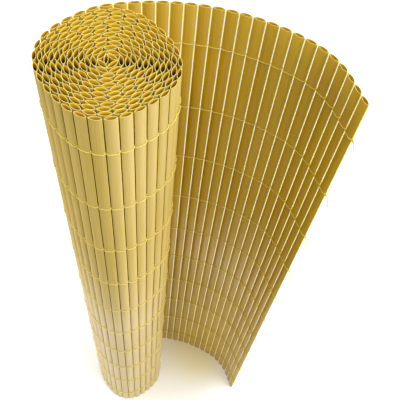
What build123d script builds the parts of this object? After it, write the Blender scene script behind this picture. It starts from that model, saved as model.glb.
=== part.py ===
# Bamboo-look screening mat standing on end: hollow slats laid side by side and tied by
# rows of thread, most of it wound into a roll and the last slats swung out in a free run.
# The slats stand on the ground at Z 0, and the origin is the middle of the footprint.

import math
import os

from build123d import *

os.makedirs("parts", exist_ok=True)

# Slat: an extruded tube of lens section, three flats a side, cut square at both ends.
slat_length = 1000.0
slat_width = 12.2
slat_thickness = 4.15
slat_wall = 0.45
crown_width = 4.2
slat_gap = 0.9

# Tie thread: one strand a row, pressed flat along the inner faces of the free slats.
thread_rows = 10
thread_width = 0.8
thread_thickness = 0.25
thread_seat = 0.1
end_margin = 50.0

# Roll: thread keeps the turns apart, and the slats' edges stack up into four soft corners.
flank_radius = 60.9
corner_count = 4
corner_rise = 0.075
core_slats = 3.0
edge_web = 0.8
leaving_angle = 145.4

# Free run: the first slats peel off the roll, each eased outwards by a few tenths of a degree
# more than the one before; then how many slats follow each bend, and the bend's radius.
leaving_slats = 4
leaving_ease = 0.68
sweep_slats = 15
sweep_radius = 223.0
hook_slats = 4
hook_radius = 87.0
straight_slats = 2

up = (0, 0, 1)
pitch = slat_width + slat_gap
turn_spacing = slat_thickness + thread_thickness + 2 * thread_seat
core_radius = pitch / (2 * math.sin(math.pi / core_slats))

# The bore is the section offset inwards by the wall, so its flats stay parallel to it.
flank_angle = math.atan2(slat_thickness, slat_width - crown_width)
bore_width = slat_width - 2 * slat_wall / math.sin(flank_angle)
bore_thickness = slat_thickness - 2 * slat_wall
bore_crown = bore_width - bore_thickness / math.tan(flank_angle)


def lens(width, thickness, crown):
    """Corners of a lens section with flat crowns, once round from its left edge."""
    return [
        (-width / 2, 0),
        (-crown / 2, thickness / 2),
        (crown / 2, thickness / 2),
        (width / 2, 0),
        (crown / 2, -thickness / 2),
        (-crown / 2, -thickness / 2),
    ]


def spiral_radius(wound):
    """Flank radius of the roll after winding inwards through an angle."""
    return flank_radius - turn_spacing * wound / math.tau


def spiral_point(wound):
    """Place in the roll of a slat's edge, by the angle wound inwards to it."""
    bearing = math.radians(leaving_angle) + wound
    corner = corner_rise * (1 + math.cos(corner_count * bearing)) / 2
    radius = spiral_radius(wound) * (1 + corner)
    return Vector(radius * math.cos(bearing), radius * math.sin(bearing))


def one_slat_on(wound, sense):
    """Angle wound at the next slat edge of the spiral, inwards for sense 1, outwards for -1."""
    step = sense * pitch / spiral_radius(wound)
    corrections = 8
    for _ in range(corrections):
        step *= pitch / (spiral_point(wound + step) - spiral_point(wound)).length
    return wound + step


def rolled_edges():
    """Slat edges a pitch apart along the spiral, from the core out to the leaving point."""
    edges = [spiral_point(0)]
    wound = 0
    while spiral_radius(wound) > core_radius:
        wound = one_slat_on(wound, 1)
        edges.append(spiral_point(wound))
    return edges[::-1]


def free_edges(leaving):
    """Slat edges a pitch apart from the leaving point, along the bends, to the free end."""
    headings = []
    wound = 0
    for count in range(1, leaving_slats + 1):
        outer = one_slat_on(wound, -1)
        along = spiral_point(outer) - spiral_point(wound)
        heading = math.atan2(along.Y, along.X) + count * math.radians(leaving_ease)
        headings.append(heading)
        wound = outer
    for slats, radius in ((sweep_slats, sweep_radius), (hook_slats, hook_radius)):
        for _ in range(slats):
            heading -= pitch / radius
            headings.append(heading)
    headings += [heading] * straight_slats
    edges = [leaving]
    for heading in headings:
        edges.append(edges[-1] + Vector(pitch * math.cos(heading), pitch * math.sin(heading)))
    return edges


def slat_planes(edges):
    """One plane per slat: origin at its middle, X along its width, Y to the outer face."""
    return [Plane((a + b) / 2, x_dir=b - a, z_dir=up) for a, b in zip(edges, edges[1:])]


def mitres(planes):
    """At each edge between two slats, the step that shifts both of them sideways by one."""
    steps = [planes[0].y_dir]
    for before, after in zip(planes, planes[1:]):
        bisector = (before.y_dir + after.y_dir).normalized()
        steps.append(bisector / bisector.dot(before.y_dir))
    steps.append(planes[-1].y_dir)
    return steps


def rolled_solid(edges):
    """The wound slats as one chain, joined edge to edge, with a bore through each slat."""
    planes = slat_planes(edges)
    webs = [step.normalized() * edge_web / 2 for step in mitres(planes)]
    section = lens(slat_width, slat_thickness, crown_width)
    outer = [edges[0]]
    inner = [edges[0]]
    for plane, edge, web in zip(planes, edges[1:], webs[1:]):
        outer += [plane.from_local_coords(corner) for corner in section[1:3]]
        inner += [plane.from_local_coords(corner) for corner in section[:3:-1]]
        outer.append(edge + web)
        inner.append(edge - web)
    outline = Wire.make_polygon(outer + inner[:0:-1])
    left, top = -bore_width / 2, bore_thickness / 2
    diamond = [(left, 0), (0, top), (-left, 0), (0, -top)]
    bores = [Wire.make_polygon([plane.from_local_coords(c) for c in diamond]) for plane in planes]
    return extrude(Face(outline, bores), slat_length, dir=up)


def slat_solid(plane):
    """One free slat: a hollow lens-section tube."""
    tube = Polygon(*lens(slat_width, slat_thickness, crown_width), align=None)
    tube -= Polygon(*lens(bore_width, bore_thickness, bore_crown), align=None)
    return extrude(plane * tube, slat_length, dir=up)


def thread_solid(edges, planes):
    """One row of thread at Z 0: a three-sided strand lying flat along every free slat."""
    seat = slat_thickness / 2 + thread_seat
    route = [edge - step * seat for edge, step in zip(edges, mitres(planes))]
    start = Plane(route[0], x_dir=-planes[0].y_dir, z_dir=planes[0].x_dir)
    half = thread_width / 2
    strand = Polygon((0, -half), (thread_thickness, 0), (0, half), align=None)
    return sweep(start * strand, path=Polyline(*route), transition=Transition.RIGHT)


roll_edges = rolled_edges()
run_edges = free_edges(roll_edges[-1])
run_planes = slat_planes(run_edges)

nodes = {"rolled_slats": rolled_solid(roll_edges)}
for number, plane in enumerate(run_planes, start=1):
    nodes[f"slat_{number:02d}"] = slat_solid(plane)

thread = thread_solid(run_edges, run_planes)
row_spacing = (slat_length - 2 * end_margin) / (thread_rows - 1)
for row in range(thread_rows):
    nodes[f"tie_thread_{row + 1:02d}"] = Pos(0, 0, end_margin + row * row_spacing) * thread

footprint = Compound(list(nodes.values())).bounding_box().center()
for name, shape in nodes.items():
    export_step(Pos(-footprint.X, -footprint.Y, 0) * shape, f"parts/{name}.step")

print("slats", len(roll_edges) - 1 + len(run_planes), "in the roll", len(roll_edges) - 1)
print("roll axis at", -footprint.X, -footprint.Y)
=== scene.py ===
import math
import random
from itertools import combinations

import bmesh
import bpy
from mathutils import Matrix, Vector


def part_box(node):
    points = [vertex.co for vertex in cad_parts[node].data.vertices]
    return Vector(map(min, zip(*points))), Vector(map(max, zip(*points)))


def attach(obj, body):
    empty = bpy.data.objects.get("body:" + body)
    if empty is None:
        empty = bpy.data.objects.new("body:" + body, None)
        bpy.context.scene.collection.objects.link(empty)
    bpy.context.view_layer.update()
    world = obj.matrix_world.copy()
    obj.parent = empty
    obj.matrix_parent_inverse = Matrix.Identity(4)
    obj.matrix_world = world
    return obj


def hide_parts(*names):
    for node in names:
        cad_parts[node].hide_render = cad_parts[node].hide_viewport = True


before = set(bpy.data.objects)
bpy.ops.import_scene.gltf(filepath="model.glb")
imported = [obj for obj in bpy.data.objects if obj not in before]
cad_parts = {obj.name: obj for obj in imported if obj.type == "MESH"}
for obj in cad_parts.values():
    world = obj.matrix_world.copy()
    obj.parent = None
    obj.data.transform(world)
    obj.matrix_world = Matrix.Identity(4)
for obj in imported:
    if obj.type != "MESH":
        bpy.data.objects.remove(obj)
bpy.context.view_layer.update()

# Free slats: plastic tubes of a flat lens section, extruded in one length and sawn square, so
# that each cut end shows a pale rim round a narrow bore. The finish is satin, with faint streaks
# along the length and a slightly different yellow from one slat to the next. Its colour also
# holds painted light: outer faces paler for sheen, inner faces deeper for shade, all paler
# towards the foot, lit edges and bores, and painted shade deep in the bores and covered turns.
WALL = 0.00034
WELD = 1e-6
SECTION_POINTS = 16
CROWN_FLATNESS = 2.6
EDGE_LIP = 0.00026
EDGE_REACH = 0.95
FACE_MARKS = ("tone", "glow", "covered", "outer", "edge", "bore", "sawn")
# Painted sheen and shade: one plastic, its inner face deeper for shade, its outer paler for sheen.
INNER_SHADED_YELLOW = (0.435, 0.248, 0.001)
INNER_SHADED_STRAW = (0.610, 0.400, 0.030)
OUTER_SHEEN_YELLOW = (0.462, 0.321, 0.048)
OUTER_SHEEN_STRAW = (0.650, 0.476, 0.175)
# Painted light: amber bore walls for light that bounces in the bore and comes through its wall.
PAINTED_BORE_GOLD = (0.780, 0.470, 0.006)
PAINTED_BORE_ORANGE = (0.660, 0.350, 0.005)
# Painted light on the slat edges, for light shining through them.
PAINTED_EDGE_LIGHT = (0.970, 0.800, 0.040)
SAWN_CREAM = (0.990, 0.890, 0.260)
# Painted shade, deep in the bores and on covered turns, in from each end.
PAINTED_DEEP_SHADE = (0.085, 0.042, 0.003)
PAINTED_SHADE_DEPTH = 0.009
STREAKS = {"Scale": 700, "Detail": 3}
STREAK_RUN = (1, 1, 0.012)
MOTTLING = {"Scale": 55, "Detail": 4}
MOTTLE_RUN = (1, 1, 0.2)
TONE_SHARE = 0.35
STREAK_SHARE = 0.7
MOTTLE_SHARE = 0.2
# Painted floor bounce: paler towards the foot, deeper upwards.
PAINTED_BOUNCE_AT_FOOT = 0.075
PAINTED_BOUNCE_LOST_UPWARDS = 0.4
SATIN = 0.28
STREAK_ROUGHNESS = 0.12
SAWN_ROUGHNESS = 0.25
BORE_ROUGHNESS = 0.55
GLOSS = 0.3
GRAIN_STRENGTH = 0.25
GRAIN_DEPTH = 0.0002
slat_random = random.Random(11)


class Shade:
    """A shader socket that takes Python's arithmetic: each expression adds its Math nodes."""

    def __init__(self, tree, socket=None):
        self.tree = tree
        self.socket = socket

    def node(self, kind, settings, inputs, out=0):
        """Any other node: its settings come first, then its sockets' values or links."""
        made = self.tree.nodes.new(kind)
        for name, value in settings.items():
            setattr(made, name, value)
        for name, value in inputs.items():
            if isinstance(value, Shade):
                self.tree.links.new(value.socket, made.inputs[name])
            else:
                made.inputs[name].default_value = value
        return Shade(self.tree, made.outputs[out])

    def math(self, operation, first, second):
        return self.node("ShaderNodeMath", {"operation": operation}, {0: first, 1: second})

    def __add__(self, other):
        return self.math("ADD", self, other)

    def __radd__(self, other):
        return self.math("ADD", other, self)

    def __sub__(self, other):
        return self.math("SUBTRACT", self, other)

    def __rsub__(self, other):
        return self.math("SUBTRACT", other, self)

    def __mul__(self, other):
        return self.math("MULTIPLY", self, other)

    def __rmul__(self, other):
        return self.math("MULTIPLY", other, self)

    def ramp(self, low, high, kind="LINEAR"):
        """From 0 to 1 as this value goes from low to high."""
        return self.node(
            "ShaderNodeMapRange",
            {"interpolation_type": kind},
            {"Value": self, "From Min": low, "From Max": high},
        )

    def blend(self, first, second):
        """From the first colour to the second as this value goes from 0 to 1."""
        ends = [(*end, 1) if isinstance(end, tuple) else end for end in (first, second)]
        inputs = {0: self, 6: ends[0], 7: ends[1]}
        return self.node("ShaderNodeMix", {"data_type": "RGBA"}, inputs, 2)

    def stretched(self, scale):
        """This vector, scaled along each axis."""
        return self.node("ShaderNodeVectorMath", {"operation": "MULTIPLY"}, {0: self, 1: scale})

    def into(self, shader, name):
        self.tree.links.new(self.socket, shader.inputs[name])


def new_material(name):
    """A Principled material: itself, its shader and an empty Shade to write nodes with."""
    material = bpy.data.materials.new(name)
    material.use_nodes = True
    tree = material.node_tree
    return material, tree.nodes["Principled BSDF"], Shade(tree)


def slat_plastic(length):
    material, shader, shade = new_material("bamboo_yellow_plastic")
    place = shade.node("ShaderNodeTexCoord", {}, {}, "Object")
    streaked = {"Vector": place.stretched(STREAK_RUN), **STREAKS}
    streak = shade.node("ShaderNodeTexNoise", {}, streaked)
    mottled = {"Vector": place.stretched(MOTTLE_RUN), **MOTTLING}
    mottle = shade.node("ShaderNodeTexNoise", {}, mottled)
    tone, glow, covered, outer, edge, bore, sawn = [
        shade.node("ShaderNodeAttribute", {"attribute_name": name}, {}, "Fac")
        for name in FACE_MARKS
    ]
    height = shade.node("ShaderNodeSeparateXYZ", {}, {0: place}, "Z")
    # Painted floor bounce: the yellow is paler towards the foot and deeper upwards.
    painted_bounce = PAINTED_BOUNCE_AT_FOOT - PAINTED_BOUNCE_LOST_UPWARDS * height
    straw_and_bounce = tone * TONE_SHARE + streak * STREAK_SHARE + mottle * MOTTLE_SHARE + painted_bounce
    # Painted sheen and shade: the outer face paler, the inner face deeper.
    inner_shaded_face = straw_and_bounce.blend(INNER_SHADED_YELLOW, INNER_SHADED_STRAW)
    outer_sheen_face = straw_and_bounce.blend(OUTER_SHEEN_YELLOW, OUTER_SHEEN_STRAW)
    broad = outer.blend(inner_shaded_face, outer_sheen_face)
    # Painted shade in from each end on bore walls and covered turns, and painted light on the
    # edges.
    from_end = length / 2 - shade.math("ABSOLUTE", height - length / 2, 0)
    shade_inwards = from_end.ramp(0, PAINTED_SHADE_DEPTH)
    skin = (covered * shade_inwards).blend(edge.blend(broad, PAINTED_EDGE_LIGHT), PAINTED_DEEP_SHADE)
    # Painted light in the bore walls, by how much light comes through them.
    wall = shade_inwards.blend(glow.blend(PAINTED_BORE_GOLD, PAINTED_BORE_ORANGE), PAINTED_DEEP_SHADE)
    colour = sawn.blend(bore.blend(skin, wall), SAWN_CREAM)
    colour.into(shader, "Base Color")
    worked = sawn * SAWN_ROUGHNESS + bore * BORE_ROUGHNESS
    roughness = SATIN + streak * STREAK_ROUGHNESS + worked
    roughness.into(shader, "Roughness")
    shader.inputs["Specular IOR Level"].default_value = GLOSS
    ridges = {"Strength": GRAIN_STRENGTH, "Distance": GRAIN_DEPTH, "Height": streak}
    grain = shade.node("ShaderNodeBump", {}, ridges)
    grain.into(shader, "Normal")
    return material


def slat_blank(width, thickness, length, lip, edge_light_share):
    """One slat standing at the origin: a lens outline led up its outside and down its bore.

    Both its edges are drawn out by a lip, and painted paler by a share for light shining through.
    """
    bm = bmesh.new()
    marks = bm.faces.layers.float
    for name in FACE_MARKS:
        marks.new(name)
    bore, sawn = marks["bore"], marks["sawn"]
    ring = bmesh.ops.create_circle(bm, segments=SECTION_POINTS, radius=1)["verts"]
    edge_from = EDGE_REACH * width / 2
    for vert in ring:
        bulge = math.copysign(1 - abs(vert.co.x) ** CROWN_FLATNESS, vert.co.y)
        vert.co = (vert.co.x * width / 2, bulge * thickness / 2, 0)
        if abs(vert.co.x) > edge_from:
            vert.co.x += math.copysign(lip, vert.co.x)
    tip_slope = math.atan2(2 * thickness, width)
    narrower = 1 - 2 * WALL / math.sin(tip_slope) / width
    thinner = 1 - 2 * WALL / thickness
    up = Matrix.Translation((0, 0, length))
    inwards = Matrix.Diagonal((narrower, thinner, 1, 1))
    down, outwards = up.inverted(), inwards.inverted()
    edges = bm.edges[:]
    for mark, step in (("skin", up), ("sawn", inwards), ("bore", down), ("sawn", outwards)):
        drawn = bmesh.ops.extrude_edge_only(bm, edges=edges)["geom"]
        ring = [item for item in drawn if isinstance(item, bmesh.types.BMVert)]
        bmesh.ops.transform(bm, matrix=step, verts=ring)
        edges = [item for item in drawn if isinstance(item, bmesh.types.BMEdge)]
        edges = [edge for edge in edges if set(edge.verts) <= set(ring)]
        for face in (item for item in drawn if isinstance(item, bmesh.types.BMFace)):
            face.smooth = mark != "sawn"
            face[bore] = mark == "bore"
            face[sawn] = mark == "sawn"
    for face in bm.faces:
        middle = face.calc_center_median()
        face[marks["outer"]] = middle.y > 0
        face[marks["edge"]] = edge_light_share * (abs(middle.x) > edge_from)
    bmesh.ops.remove_doubles(bm, verts=bm.verts, dist=WELD)
    bmesh.ops.recalc_face_normals(bm, faces=bm.faces)
    # Extruding leaves the faces in an order that changes from run to run, so they are sorted.
    by_place = sorted(bm.faces, key=lambda face: face.calc_center_median()[:])
    for index, face in enumerate(by_place):
        face.index = index
    bm.faces.sort()
    mesh = bpy.data.meshes.new("slat_blank")
    bm.to_mesh(mesh)
    bm.free()
    return mesh


def lay_slat(bm, blank, start, end, glow, covered):
    """Adds a slat to a mesh, standing with its width from one plan point to another.

    Its glow is the share of light that comes through its wall into its bore, and covered tells
    that another turn lies over it.
    """
    old_verts = len(bm.verts)
    old_faces = len(bm.faces)
    bm.from_mesh(blank)
    bm.verts.ensure_lookup_table()
    bm.faces.ensure_lookup_table()
    middle = (start + end) / 2
    bearing = math.atan2(end.y - start.y, end.x - start.x)
    stand = Matrix.Translation(middle.to_3d()) @ Matrix.Rotation(bearing, 4, "Z")
    bmesh.ops.transform(bm, matrix=stand, verts=bm.verts[old_verts:])
    marks = bm.faces.layers.float
    tone = slat_random.random()
    for face in bm.faces[old_faces:]:
        face[marks["tone"]] = tone
        face[marks["glow"]] = glow
        face[marks["covered"]] = covered


def tips(points):
    """The two plan points that lie farthest apart: the edges of a slat, or of its bore."""
    plan = [Vector(place) for place in {(point.x, point.y) for point in points}]
    return max(combinations(plan, 2), key=lambda pair: (pair[1] - pair[0]).length)


def chained(slats, place):
    """Slats in the order they are tied in from a plan point, each as its near and far tip."""
    waiting = list(slats)
    chain = []
    while waiting:
        near, far, slat = min(
            ((*sorted(slat, key=lambda tip: (tip - place).length), slat) for slat in waiting),
            key=lambda found: (found[0] - place).length,
        )
        waiting.remove(slat)
        chain.append((near, far))
        place = far
    return chain


def place_piece(piece, slot, *nodes):
    """The piece rides on the mat's only body and stands for these CAD nodes."""
    bpy.context.scene.collection.objects.link(piece)
    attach(piece, "root")
    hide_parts(*nodes)


free_names = sorted(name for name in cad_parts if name.startswith("slat_"))
free_meshes = [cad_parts[name].data for name in free_names]
free_tips = [tips([vert.co for vert in mesh.vertices]) for mesh in free_meshes]
leaving = max(free_tips[0], key=lambda tip: (tip - free_tips[1][0]).length)
free_run = chained(free_tips, leaving)

slat_width = (free_tips[0][1] - free_tips[0][0]).length
slat_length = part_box(free_names[0])[1].z
broad = (free_run[0][1] - free_run[0][0]).normalized()
across = [vert.co.xy.dot(broad.orthogonal()) for vert in free_meshes[0].vertices]
slat_thickness = max(across) - min(across)
plastic = slat_plastic(slat_length)
free_blank = slat_blank(slat_width, slat_thickness, slat_length, lip=EDGE_LIP, edge_light_share=1)

for name, (start, end) in zip(free_names, free_run):
    bm = bmesh.new()
    lay_slat(bm, free_blank, start, end, glow=1, covered=False)
    mesh = bpy.data.meshes.new("free_" + name)
    bm.to_mesh(mesh)
    bm.free()
    mesh.materials.append(plastic)
    place_piece(bpy.data.objects.new("free_" + name, mesh), "slat", name)

# Rolled slats: the rest of the same mat, wound up tightly on itself turn by turn, so that from
# above its sawn ends make a spiral of small lens-shaped mouths. Nothing but the thread holds it,
# and the turns below the outer one are pressed until their rims meet.
OUTER_TURN_SLATS = 33
# Painted light on the outer turn's edges.
OUTER_EDGE_LIGHT = 0.3
PRESSED_THICK = 0.0007
PRESSED_WIDE = 0.0008
CORE_FOLDS = (81, 54)
END_FACING = 0.5


def bores(node):
    """Plan tips of every bore in a CAD node: what is left of it in pieces without its ends."""
    bm = bmesh.new()
    bm.from_mesh(node.data)
    bmesh.ops.remove_doubles(bm, verts=bm.verts, dist=WELD)
    ends = [face for face in bm.faces if abs(face.normal.z) > END_FACING]
    bmesh.ops.delete(bm, geom=ends, context="FACES")
    waiting = set(bm.verts)
    walls = []
    while waiting:
        wall = [waiting.pop()]
        for vert in wall:
            joined = {edge.other_vert(vert) for edge in vert.link_edges} & waiting
            waiting -= joined
            wall += joined
        walls.append([vert.co.copy() for vert in wall])
    bm.free()
    walls.remove(max(walls, key=len))
    return [tips(wall) for wall in walls]


rolled_tips = []
for left, right in bores(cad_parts["rolled_slats"]):
    middle = (left + right) / 2
    reach = (right - left).normalized() * slat_width / 2
    rolled_tips.append((middle - reach, middle + reach))
rolled = chained(rolled_tips, leaving)

slat_gap = (free_run[1][0] - free_run[0][1]).length
for fold in CORE_FOLDS:
    near, far = rolled[-1]
    along = (far - near).normalized()
    folded = Matrix.Rotation(math.radians(180 - fold), 2) @ along
    start = far + (along + folded) * slat_gap / 2
    rolled.append((start, start + folded * slat_width))

loose = slat_blank(slat_width, slat_thickness, slat_length, lip=0, edge_light_share=OUTER_EDGE_LIGHT)
wide, thick = slat_width + PRESSED_WIDE, slat_thickness + PRESSED_THICK
pressed = slat_blank(wide, thick, slat_length, lip=0, edge_light_share=0)
core_from = len(rolled) - len(CORE_FOLDS)
bm = bmesh.new()
for count, (near, far) in enumerate(rolled):
    # Painted light through the walls fades over the outer turn; covered turns take painted shade.
    glow = max(0, 1 - count / OUTER_TURN_SLATS)
    covered = count >= OUTER_TURN_SLATS
    blank = pressed if covered and count < core_from else loose
    lay_slat(bm, blank, far, near, glow, covered)
mesh = bpy.data.meshes.new("rolled_mat")
bm.to_mesh(mesh)
bm.free()
mesh.materials.append(plastic)
place_piece(bpy.data.objects.new("rolled_mat", mesh), "slat", "rolled_slats")

# Tie threads: ten rows of pale yellow twine, each of two strands that run one before and one
# behind every slat and cross in the gaps, which keeps the slats apart. Past the last slat they
# are cut off: one strand short, the other with a frayed tail that sticks out and droops.
THREAD_RADIUS = 0.00046
THREAD_YELLOW = (0.86, 0.70, 0.07)
THREAD_PALE = (0.94, 0.83, 0.24)
THREAD_ROUGHNESS = 0.7
FUZZ = {"Scale": 900, "Detail": 2}
CROSSING = 0.0005
ACROSS_SLAT = (0.1, 0.5, 0.9)
TAIL_BEND = ((0, 0), (0.3, 0), (0.6, 1 / 3), (1, 1))
TAIL_REACH = 0.011
TAIL_DROPS = (0.005, 0.014)
STUB_DROP = 0.002
TAIL_FRAY = 1.5
thread_random = random.Random(4)


def thread_twine():
    material, shader, shade = new_material("pale_yellow_twine")
    place = shade.node("ShaderNodeTexCoord", {}, {}, "Object")
    fuzz = shade.node("ShaderNodeTexNoise", {}, {"Vector": place, **FUZZ})
    colour = fuzz.blend(THREAD_YELLOW, THREAD_PALE)
    colour.into(shader, "Base Color")
    shader.inputs["Roughness"].default_value = THREAD_ROUGHNESS
    return material


def strand_route(slats, height, side, tail_drop):
    """Points of one strand over a chain of slats, starting on one side and changing in each gap.

    Past the last slat it sticks out and bends down by the drop of its tail.
    """
    route = []
    over = slat_thickness / 2 + THREAD_RADIUS
    for start, end in slats:
        outwards = (end - start).orthogonal().normalized() * side * over
        route.append(start.to_3d() + Vector((0, 0, height + side * CROSSING)))
        for share in ACROSS_SLAT:
            place = start.lerp(end, share) + outwards
            route.append(place.to_3d() + Vector((0, 0, height)))
        side = -side
    tail = (end - start).normalized() * min(TAIL_REACH, tail_drop)
    for out, down in TAIL_BEND:
        level = height + side * CROSSING - down * tail_drop
        route.append((end + tail * out).to_3d() + Vector((0, 0, level)))
    return route


twine = thread_twine()
tied = [(far, near) for near, far in reversed(rolled[:OUTER_TURN_SLATS])] + free_run
for name in sorted(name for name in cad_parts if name.startswith("tie_thread_")):
    low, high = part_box(name)
    curve = bpy.data.curves.new(name, "CURVE")
    curve.dimensions = "3D"
    curve.bevel_depth = THREAD_RADIUS
    curve.bevel_resolution = 1
    curve.use_fill_caps = True
    curve.resolution_u = 2
    for side, drop in ((1, thread_random.uniform(*TAIL_DROPS)), (-1, STUB_DROP)):
        route = strand_route(tied, (low.z + high.z) / 2, side, drop)
        strand = curve.splines.new("NURBS")
        strand.points.add(len(route) - 1)
        for point, place in zip(strand.points, route):
            point.co = (*place, 1)
        for point in strand.points[1 - len(TAIL_BEND):]:
            point.radius = TAIL_FRAY
        strand.order_u = 3
        strand.use_endpoint_u = True
    spun = bpy.data.objects.new(name, curve)
    mesh = bpy.data.meshes.new_from_object(spun)
    bpy.data.objects.remove(spun)
    mesh.materials.clear()
    mesh.materials.append(twine)
    place_piece(bpy.data.objects.new("row_" + name, mesh), "tie_thread", name)

# Floor: a white paper sheet round the mat that passes into grey in front, and keeps its shadow.
# To the eye the sheet is whitened, least of all in the shadow, which is painted amber in its
# colour and whitening, for light off the mat.
WHITE = (1, 1, 1)
BLACK = (0, 0, 0)
FLOOR_SIZE = 12.0
FLOOR_DROP = 0.0005
FLOOR_ROUGHNESS = 0.9
FLOOR_GREY = (0.25, 0.25, 0.25)
FLOOR_FRONT = -1.6
SHEET_FRONT = -0.2
SHEET_WHITE = (0.95, 0.95, 0.95)
# Painted shadow: the sheet's colour and whitening turn amber near the mat.
PAINTED_SHADE_SHEET = (0.95, 0.90, 0.64)
SHADE_MIDDLE = (0.06, 0.06, 0.0)
SHADE_CORE = 0.03
SHADE_REACH = 0.10
PAINTED_SHADOW_AMBER = (1.0, 0.80, 0.30)
SHADOW_CORE = 0.06
SHADOW_REACH = 0.14
FAR_FROM = 0.4
FAR_TO = 2.0
WHITENING = 0.07
CLEAR_WHITENING = 0.15
FAR_WHITENING = 0.3
FLOOR_WHITENING = 0.3
MIRRORED_SHEET = 0.3

bm = bmesh.new()
bmesh.ops.create_grid(bm, x_segments=1, y_segments=1, size=FLOOR_SIZE / 2)
mesh = bpy.data.meshes.new("floor")
bm.to_mesh(mesh)
bm.free()
floor_paint, shader, shade = new_material("white_sheet_on_grey_floor")
place = shade.node("ShaderNodeTexCoord", {}, {}, "Object")
depth = shade.node("ShaderNodeSeparateXYZ", {}, {0: place}, "Y")
off_sheet = depth.ramp(SHEET_FRONT, FLOOR_FRONT)
between = {0: place, 1: SHADE_MIDDLE}
from_shade = shade.node("ShaderNodeVectorMath", {"operation": "DISTANCE"}, between, "Value")
open_sheet = from_shade.ramp(SHADE_CORE, SHADE_REACH, "SMOOTHSTEP")
# Painted shade: amber sheet colour between the roll and the free run.
sheet = open_sheet.blend(PAINTED_SHADE_SHEET, SHEET_WHITE)
off_sheet.blend(sheet, FLOOR_GREY).into(shader, "Base Color")
shader.inputs["Roughness"].default_value = FLOOR_ROUGHNESS
distance = shade.node("ShaderNodeVectorMath", {"operation": "LENGTH"}, {0: place}, "Value")
clear = distance.ramp(SHADOW_CORE, SHADOW_REACH, "SMOOTHSTEP")
away = distance.ramp(FAR_FROM, FAR_TO)
camera_ray = shade.node("ShaderNodeLightPath", {}, {}, "Is Camera Ray")
glossy_ray = shade.node("ShaderNodeLightPath", {}, {}, "Is Glossy Ray")
seen = WHITENING + CLEAR_WHITENING * clear + FAR_WHITENING * away + FLOOR_WHITENING * off_sheet
whitened = camera_ray * seen + glossy_ray * (MIRRORED_SHEET - MIRRORED_SHEET * off_sheet)
# Painted shadow: the whitening turns amber near the mat.
whitened.blend(BLACK, clear.blend(PAINTED_SHADOW_AMBER, WHITE)).into(shader, "Emission Color")
shader.inputs["Emission Strength"].default_value = 1
mesh.materials.append(floor_paint)
floor = bpy.data.objects.new("floor", mesh)
floor.location.z = -FLOOR_DROP
bpy.context.scene.collection.objects.link(floor)

# Lights: a white surround, a broad soft light on the right, one overhead and a smaller one on the
# left, which evens out the roll's dark side and isn't mirrored in the satin of the slats.
SURROUND_LIGHT = 0.5
MAT_MIDDLE = Vector((0, 0, 0.5))
KEY_PLACE = (3.9, -0.9, 2.7)
KEY_SIZE = (5.0, 5.0)
KEY_POWER = 266
TOP_PLACE = (0.2, 0.2, 6.0)
TOP_SIZE = (4.0, 4.0)
TOP_POWER = 74
FILL_PLACE = (-3.6, -0.15, 1.1)
FILL_SIZE = (2.0, 1.2)
FILL_POWER = 84


def softbox(name, place, size, power):
    """A rectangular soft light that faces straight down."""
    lamp = bpy.data.lights.new(name, "AREA")
    lamp.shape = "RECTANGLE"
    lamp.size, lamp.size_y = size
    lamp.energy = power
    box = bpy.data.objects.new(name, lamp)
    box.location = place
    bpy.context.scene.collection.objects.link(box)
    return box


def turn_to_mat(box):
    """Turns a light to face the mat's middle."""
    ray = MAT_MIDDLE - box.location
    box.rotation_euler = ray.to_track_quat("-Z", "Y").to_euler()


world = bpy.data.worlds.new("white_surround")
bpy.context.scene.world = world
world.use_nodes = True
shade = Shade(world.node_tree)
background = world.node_tree.nodes["Background"]
camera_ray = shade.node("ShaderNodeLightPath", {}, {}, "Is Camera Ray")
glossy_ray = shade.node("ShaderNodeLightPath", {}, {}, "Is Glossy Ray")
strength = SURROUND_LIGHT + (1 - SURROUND_LIGHT) * (camera_ray + glossy_ray)
strength.into(background, "Strength")
background.inputs["Color"].default_value = (*WHITE, 1)

turn_to_mat(softbox("key_softbox", KEY_PLACE, KEY_SIZE, KEY_POWER))
softbox("top_softbox", TOP_PLACE, TOP_SIZE, TOP_POWER)
fill = softbox("fill_softbox", FILL_PLACE, FILL_SIZE, FILL_POWER)
turn_to_mat(fill)
fill.visible_glossy = False

# Camera: above the mat and in front of it, looking down steeply and rolled to one side, so that
# the slats draw together towards the foot.
CAMERA_PLACE = (0.01565, -0.37798, 1.4227)
CAMERA_TILT = 59.97
CAMERA_ROLL = 8.60
FOCAL_SHARE = 638.8 / 400
SENSOR_WIDTH = 36

view = bpy.data.cameras.new("photo_view")
view.sensor_width = SENSOR_WIDTH
view.lens = SENSOR_WIDTH * FOCAL_SHARE
camera = bpy.data.objects.new("photo_view", view)
look_down = Matrix.Rotation(math.radians(90 - CAMERA_TILT), 4, "X")
camera_roll = Matrix.Rotation(math.radians(CAMERA_ROLL), 4, "Z")
camera.matrix_world = Matrix.Translation(CAMERA_PLACE) @ look_down @ camera_roll
bpy.context.scene.collection.objects.link(camera)
bpy.context.scene.camera = camera
bpy.context.scene.view_settings.view_transform = "Standard"
